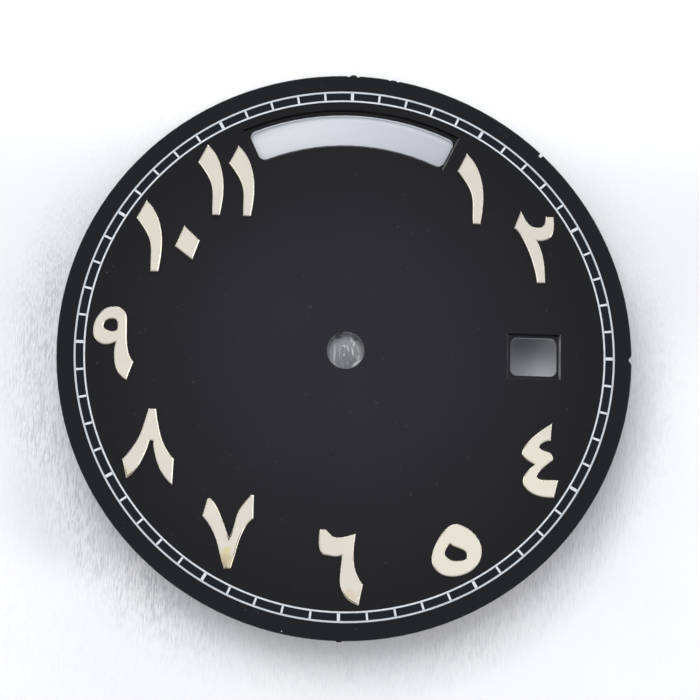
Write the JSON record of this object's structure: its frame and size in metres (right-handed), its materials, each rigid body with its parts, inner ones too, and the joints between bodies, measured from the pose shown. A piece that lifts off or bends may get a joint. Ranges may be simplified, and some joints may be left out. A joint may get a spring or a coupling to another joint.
{
  "type": "watch dial",
  "caption": "Bare watch dial: a thin round black plate with framed weekday and date windows, a printed minute track, applied Eastern Arabic numerals and feet on its back.",
  "frame": {"origin": "on the centre hole's axis, at the dial plate's back face", "axes": "+Z out of the dial's face, +Y towards 12 o'clock, +X towards 3 o'clock; units are metres"},
  "size_m": [0.029, 0.0292, 0.0032],
  "materials": {
    "black_lacquer": "satin lacquer on brass, bare on the back",
    "polished_applique": "polished, plated pale",
    "foot_copper": "drawn wire",
    "track_ink": "printed ink"
  },
  "bodies": {
    "root": {"dial_plate": "black_lacquer", "dial_foot_a": "foot_copper", "dial_foot_b": "foot_copper", "minute_track": "track_ink", "numeral_1": "polished_applique", "numeral_2": "polished_applique", "numeral_4": "polished_applique", "numeral_5": "polished_applique", "numeral_6": "polished_applique", "numeral_7": "polished_applique", "numeral_8": "polished_applique", "numeral_9": "polished_applique", "numeral_10_stroke": "polished_applique", "numeral_10_dot": "polished_applique", "numeral_11_left_stroke": "polished_applique", "numeral_11_right_stroke": "polished_applique"}
  },
  "joints": []
}
